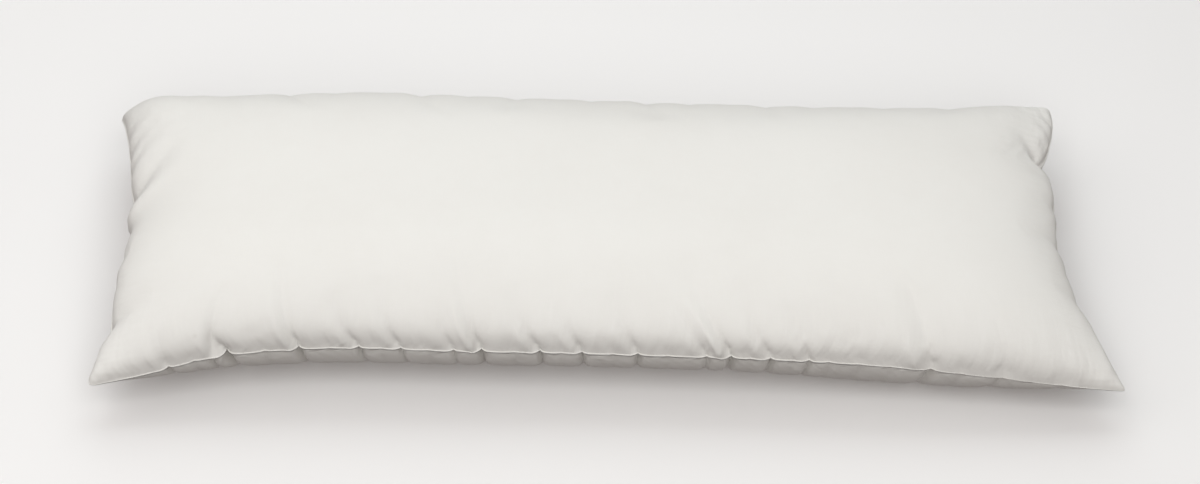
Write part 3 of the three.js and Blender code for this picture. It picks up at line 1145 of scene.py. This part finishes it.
    def simulated(self, cloth: bpy.types.Object) -> np.ndarray:
        """Runs the cloth simulation and removes its object.

        Args:
            cloth: The prepared object.

        Returns:
            Where its points end.
        """
        for number in range(1, self.frames + 1):
            bpy.context.scene.frame_set(number)
        graph = bpy.context.evaluated_depsgraph_get()
        settled = bpy.data.meshes.new_from_object(cloth.evaluated_get(graph))
        found = np.empty(3 * len(settled.vertices), np.float32)
        settled.vertices.foreach_get("co", found)
        bpy.data.objects.remove(cloth)
        bpy.context.scene.frame_set(1)
        return found.reshape(-1, 3).astype(float)

    def prepare(self, cloth: bpy.types.Object) -> None:
        """Adds the cloth simulation.

        Args:
            cloth: The closed shell of both panels.
        """
        modifier = cloth.modifiers.new("filling", "CLOTH")
        settings = modifier.settings
        settings.quality = 8
        settings.mass = 0.15
        settings.tension_stiffness = 30
        settings.compression_stiffness = 30
        settings.shear_stiffness = 12
        settings.bending_stiffness = 0.15
        settings.tension_damping = 15
        settings.compression_damping = 15
        settings.shear_damping = 10
        settings.bending_damping = 0.5
        settings.air_damping = 4
        settings.use_pressure = True
        settings.uniform_pressure_force = self.pressure
        settings.vertex_group_mass = "held"
        settings.pin_stiffness = 1
        settings.vertex_group_shrink = "near_seam"
        settings.shrink_min = -self.spare_elsewhere
        settings.shrink_max = -self.spare_at_seam
        settings.effector_weights.gravity = 0
        modifier.collision_settings.use_collision = False
        modifier.collision_settings.use_self_collision = False
        modifier.point_cache.frame_start = 1
        modifier.point_cache.frame_end = self.frames

    def mesh(self, grids: dict[Panel, np.ndarray]) -> bpy.types.Object:
        """Joins both panels by the folded edges of the seam.

        Args:
            grids: The points of each panel.

        Returns:
            The object, its box centred on the CAD solid's.
        """
        face, back = grids[Panel.FACE], grids[Panel.BACK]
        rim = tuple(np.array(self.rim(face.shape[0] - 1, face.shape[1] - 1)).T)
        count = len(rim[0])
        rings = self.folded_edges(face[rim], back[rim])
        points = np.concatenate([face.reshape(-1, 3), back.reshape(-1, 3), *rings])
        box = np.array(CAD_BOX)
        shift = (box[0] + box[1]) / 2 - (points.min(0) + points.max(0)) / 2
        shift[2] = 0
        points += shift
        self.seam_line = rings[len(rings) // 2] + shift
        face_ids = np.arange(face[..., 0].size).reshape(face.shape[:2])
        back_ids = face_ids + face_ids.size
        around = [face_ids[rim]]
        around += [2 * face_ids.size + ring * count + np.arange(count) for ring in range(len(rings))]
        around += [back_ids[rim]]
        faces = self.quads(face_ids, Panel.FACE) + self.quads(back_ids, Panel.BACK)
        for high, low in zip(around[:-1], around[1:]):
            strip = (high, low, np.roll(low, -1), np.roll(high, -1))
            faces += [tuple(int(number) for number in quad) for quad in np.stack(strip, -1)]
        mesh = bpy.data.meshes.new(self.name)
        mesh.from_pydata(points.tolist(), [], faces)
        mesh.shade_smooth()
        on_rim = np.zeros(len(points), bool)
        on_rim[around[0]] = on_rim[around[-1]] = True
        ends = np.empty(2 * len(mesh.edges), np.int32)
        mesh.edges.foreach_get("vertices", ends)
        sharp = mesh.attributes.new("sharp_edge", "BOOLEAN", "EDGE")
        sharp.data.foreach_set("value", on_rim[ends.reshape(-1, 2)].all(axis=1))
        self.lay_out(mesh, grids, rim)
        shell = bpy.data.objects.new(self.name, mesh)
        bpy.context.scene.collection.objects.link(shell)
        return shell

    def folded_edges(self, top: np.ndarray, bottom: np.ndarray) -> list[np.ndarray]:
        """Works out the lines of the two folded edges, all the way round.

        Args:
            top: The face panel's edge.
            bottom: The back panel's edge.

        Returns:
            The points of each line.
        """
        run = np.roll(top, -1, axis=0) - np.roll(top, 1, axis=0)
        out = np.stack([run[:, 1], -run[:, 0], np.zeros(len(run))], axis=1)
        out /= np.linalg.norm(out, axis=1, keepdims=True)
        middle, up = (top + bottom) / 2, (top - bottom) / 2
        out *= up[:, 2:] / self.edge_rise
        return [middle + out * self.edge_reach * share + up * high for share, high in self.fold_section]

    def lay_out(
        self, mesh: bpy.types.Mesh, grids: dict[Panel, np.ndarray], rim: tuple[np.ndarray, ...]
    ) -> None:
        """Gives each point its place on the flat cut, so that the weave follows the cloth.

        Args:
            mesh: The shell's mesh.
            grids: The points of each panel.
            rim: The columns and the rows of the places round the edge of a grid.
        """
        cuts = {}
        for panel, grid in grids.items():
            places = []
            for axis, size in enumerate(self.finish.cut_size):
                steps = np.linalg.norm(np.diff(grid, axis=axis), axis=2)
                start = np.zeros_like(np.take(steps, [0], axis=axis))
                run = np.cumsum(np.concatenate([start, steps], axis=axis), axis=axis)
                places.append(run / np.take(run, [-1], axis=axis) * size)
            cuts[panel] = np.stack(places, axis=2)
        cuts[Panel.BACK][..., 1] += self.finish.back_start
        nearest = [Panel.BACK if high < 0 else Panel.FACE for _, high in self.fold_section]
        edges = [cuts[panel][rim] for panel in nearest]
        flat = np.concatenate([*(cut.reshape(-1, 2) for cut in cuts.values()), *edges])
        layer = mesh.uv_layers.new(name="flat_cut")
        corners = np.empty(len(mesh.loops), np.int32)
        mesh.loops.foreach_get("vertex_index", corners)
        layer.data.foreach_set("uv", flat[corners].astype(np.float32).ravel())

    def dress(self, shell: bpy.types.Object) -> None:
        """Gives the shell its cloth and says what it stands for.

        Args:
            shell: The built object.
        """
        shell.data.materials.append(self.finish.material())
        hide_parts("pillow_insert")
        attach(shell, "root")


@dataclass
class SeamThread:
    """The stitches between the two folded edges of the seam.

    Unevenness is how much larger or smaller than the rest a stitch may be, as a share.
    """

    finish: SewingThread
    pitch: float = 0.0028
    length: float = 0.0021
    radius: float = 0.00028
    stitch_sides: int = 6
    stitch_rings: int = 4
    unevenness: float = 0.1
    seed: int = 4
    name: str = "seam_thread"

    def build(self, line: np.ndarray) -> bpy.types.Object:
        """Sews along the seam.

        Args:
            line: The points of the groove, all the way round.

        Returns:
            The stitches as one mesh.
        """
        curve = bpy.data.curves.new(self.name, "CURVE")
        curve.dimensions = "3D"
        spline = curve.splines.new("POLY")
        spline.points.add(len(line) - 1)
        spline.points.foreach_set("co", np.insert(line, 3, 1, axis=1).ravel())
        spline.use_cyclic_u = True
        path = bpy.data.objects.new(self.name + "_path", curve)
        bpy.context.scene.collection.objects.link(path)
        modifier = path.modifiers.new("stitches", "NODES")
        modifier.node_group = self.tree(self.finish.material())
        values = {
            "Pitch": self.pitch,
            "Length": self.length,
            "Radius": self.radius,
            "Unevenness": self.unevenness,
            "Seed": self.seed,
        }
        for item in modifier.node_group.interface.items_tree:
            if item.name in values and item.in_out == "INPUT":
                modifier[item.identifier] = values[item.name]
        graph = bpy.context.evaluated_depsgraph_get()
        mesh = bpy.data.meshes.new_from_object(path.evaluated_get(graph))
        path.modifiers.clear()
        bpy.data.objects.remove(path)
        mesh.name = self.name
        stitches = bpy.data.objects.new(self.name, mesh)
        bpy.context.scene.collection.objects.link(stitches)
        return stitches

    def tree(self, material: bpy.types.Material) -> bpy.types.NodeTree:
        """Builds the tree that repeats one stitch along a curve.

        Args:
            material: The thread's finish.

        Returns:
            The tree.
        """
        tree = bpy.data.node_groups.new("stitches", "GeometryNodeTree")
        face = tree.interface
        face.new_socket("Geometry", in_out="INPUT", socket_type="NodeSocketGeometry")
        for name in ("Pitch", "Length", "Radius", "Unevenness"):
            face.new_socket(name, in_out="INPUT", socket_type="NodeSocketFloat")
        face.new_socket("Seed", in_out="INPUT", socket_type="NodeSocketInt")
        face.new_socket("Geometry", in_out="OUTPUT", socket_type="NodeSocketGeometry")
        given = add_node(tree, "NodeGroupInput", {}).outputs
        places = {"Curve": given["Geometry"], "Length": given["Pitch"]}
        spaced = add_node(tree, "GeometryNodeResampleCurve", places, mode="LENGTH").outputs[0]
        tangent = add_node(tree, "GeometryNodeInputTangent", {}).outputs[0]
        turned = add_node(tree, "FunctionNodeAlignRotationToVector", {"Vector": tangent}, axis="X")
        ball = {"Segments": self.stitch_sides, "Rings": self.stitch_rings, "Radius": 1.0}
        stitch = add_node(tree, "GeometryNodeMeshUVSphere", ball).outputs["Mesh"]
        half = add_node(tree, "ShaderNodeMath", {0: given["Length"], 1: 2.0}, operation="DIVIDE")
        radii = {"X": half.outputs[0], "Y": given["Radius"], "Z": given["Radius"]}
        size = add_node(tree, "ShaderNodeCombineXYZ", radii).outputs[0]
        least = add_node(tree, "ShaderNodeMath", {0: 1.0, 1: given["Unevenness"]}, operation="SUBTRACT")
        most = add_node(tree, "ShaderNodeMath", {0: 1.0, 1: given["Unevenness"]}, operation="ADD")
        spread = {"Min": least.outputs[0], "Max": most.outputs[0], "Seed": given["Seed"]}
        varied = add_node(tree, "FunctionNodeRandomValue", spread, data_type="FLOAT").outputs["Value"]
        scale = add_node(tree, "ShaderNodeVectorMath", {0: size, "Scale": varied}, operation="SCALE")
        parts = {
            "Points": spaced,
            "Instance": stitch,
            "Rotation": turned.outputs[0],
            "Scale": scale.outputs[0],
        }
        placed = add_node(tree, "GeometryNodeInstanceOnPoints", parts).outputs[0]
        real = add_node(tree, "GeometryNodeRealizeInstances", {"Geometry": placed}).outputs[0]
        finish = {"Geometry": real, "Material": material}
        dressed = add_node(tree, "GeometryNodeSetMaterial", finish).outputs[0]
        add_node(tree, "NodeGroupOutput", {"Geometry": dressed})
        return tree

    def dress(self, stitches: bpy.types.Object) -> None:
        """Says what the stitches ride on."""
        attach(stitches, "root")


@dataclass(frozen=True)
class Lamp:
    """A square softbox: where it hangs, how wide it is, its power in watts and its colour."""

    name: str
    place: tuple[float, float, float]
    size: float
    power: float
    colour: tuple[float, float, float]

    def hang(self, target: tuple[float, float, float]) -> None:
        """Makes the lamp.

        Args:
            target: The point that it faces.
        """
        light = bpy.data.lights.new(self.name, "AREA")
        light.shape = "SQUARE"
        light.size = self.size
        light.energy = self.power
        light.color = self.colour
        lamp = bpy.data.objects.new(self.name, light)
        lamp.location = self.place
        aim = Vector(target) - Vector(self.place)
        lamp.rotation_euler = aim.to_track_quat("-Z", "Y").to_euler()
        bpy.context.scene.collection.objects.link(lamp)


@dataclass(frozen=True)
class Studio:
    """A plain pale floor and soft light, mostly from above."""

    floor_half: float = 9.0
    floor_colour: tuple[float, ...] = (0.94, 0.94, 0.94, 1)
    floor_shade: tuple[float, ...] = (0.9259, 0.9259, 0.9259, 1)
    patch_scale: float = 1.5
    floor_roughness: float = 0.9
    floor_specular: float = 0.1
    sky_colour: tuple[float, ...] = (1.0, 0.885, 0.84, 1)
    sky_strength: float = 0.19
    target: tuple[float, float, float] = (0.0, 0.0, 0.05)
    lamps: tuple[Lamp, ...] = (
        Lamp("softbox_front", (0.0, -1.8, 2.2), size=2.6, power=45.5, colour=(1.0, 0.99, 0.973)),
        Lamp("softbox_back", (0.0, 1.8, 2.2), size=2.6, power=30.9, colour=(0.942, 0.997, 1.0)),
        Lamp("softbox_left", (-1.8, 0.0, 2.2), size=2.6, power=20.5, colour=(1.0, 0.98, 0.97)),
        Lamp("softbox_right", (1.8, 0.0, 2.2), size=2.6, power=4.6, colour=(0.97, 1.0, 1.0)),
    )

    def build(self) -> None:
        """Makes the floor, the lamps and the sky."""
        corners = [(-1, -1), (1, -1), (1, 1), (-1, 1)]
        mesh = bpy.data.meshes.new("floor")
        points = [(x * self.floor_half, y * self.floor_half, 0) for x, y in corners]
        mesh.from_pydata(points, [], [(0, 1, 2, 3)])
        mesh.materials.append(self.floor_material())
        floor = bpy.data.objects.new("floor", mesh)
        bpy.context.scene.collection.objects.link(floor)
        # The light that a floor throws back is left out, so that the pillow's under side stays dark.
        floor.visible_diffuse = False
        for lamp in self.lamps:
            lamp.hang(self.target)
        world = bpy.data.worlds.new("studio")
        world.use_nodes = True
        background = world.node_tree.nodes["Background"]
        background.inputs["Color"].default_value = self.sky_colour
        background.inputs["Strength"].default_value = self.sky_strength
        bpy.context.scene.world = world
        bpy.context.scene.view_settings.view_transform = "Standard"

    def floor_material(self) -> bpy.types.Material:
        """Makes a matt pale finish with the faintest unevenness.

        Returns:
            The material.
        """
        tree = ShaderTree("studio_floor")
        patches = tree.noise(tree.object_place(), self.patch_scale)
        return tree.surface(
            {
                "Base Color": tree.mixed(patches, self.floor_colour, self.floor_shade),
                "Roughness": self.floor_roughness,
                "Specular IOR Level": self.floor_specular,
            }
        )


@dataclass(frozen=True)
class PhotoCamera:
    """A camera at the photograph's angle to the pillow's face.

    Elevation, yaw and roll are in degrees. The focal length is in pixels of the photograph, and
    above_centre is how far above the picture's middle the middle of the pillow appears, in them.
    """

    elevation: float = 44.2
    yaw: float = 3.0
    roll: float = 2.25
    distance: float = 2.3
    focal_pixels: float = 2545.0
    above_centre: float = 10.0
    sensor: float = 36.0
    aim: tuple[float, float, float] = (-0.0015, 0.0, 0.060)

    def build(self) -> None:
        """Makes the camera and looks through it."""
        e, yaw, roll = (math.radians(a) for a in (self.elevation, self.yaw, self.roll))
        back = Vector((-math.cos(e) * math.sin(yaw), -math.cos(e) * math.cos(yaw), math.sin(e)))
        right = Vector((math.cos(yaw), -math.sin(yaw), 0))
        up = back.cross(right)
        aim = Vector(self.aim)
        place = aim + back * self.distance
        target = aim - up * (self.distance * self.above_centre / self.focal_pixels)
        look = (target - place).normalized()
        true_up = right.cross(look)
        turned_right = right * math.cos(roll) + true_up * math.sin(roll)
        turned_up = true_up * math.cos(roll) - right * math.sin(roll)
        data = bpy.data.cameras.new("camera")
        data.sensor_width = self.sensor
        data.lens = self.focal_pixels * self.sensor / PHOTO_WIDTH
        camera = bpy.data.objects.new("camera", data)
        axes = Matrix((turned_right, turned_up, -look)).transposed().to_4x4()
        camera.matrix_world = Matrix.Translation(place) @ axes
        bpy.context.scene.collection.objects.link(camera)
        bpy.context.scene.camera = camera


def main() -> None:
    """Builds the pillow and the studio, and reports each piece."""
    logging.basicConfig(level=logging.INFO, format="%(message)s")
    PhotoCamera().build()
    marks = (
        Mark(place=(0.1062, -0.0738, 0.1141), width=0.010, strength=0.03),
        Mark(place=(-0.3518, -0.1455, 0.0765), width=0.0030, strength=0.16),
    )
    shell = StuffedShell(PillowForm(), CottonCloth(marks=marks))
    body = shell.build()
    shell.dress(body)
    LOG.info("%s: %d faces", body.name, len(body.data.polygons))
    thread = SeamThread(SewingThread())
    stitches = thread.build(shell.seam_line)
    thread.dress(stitches)
    LOG.info("%s: %d faces", stitches.name, len(stitches.data.polygons))
    Studio().build()


if __name__ == "__main__":
    main()
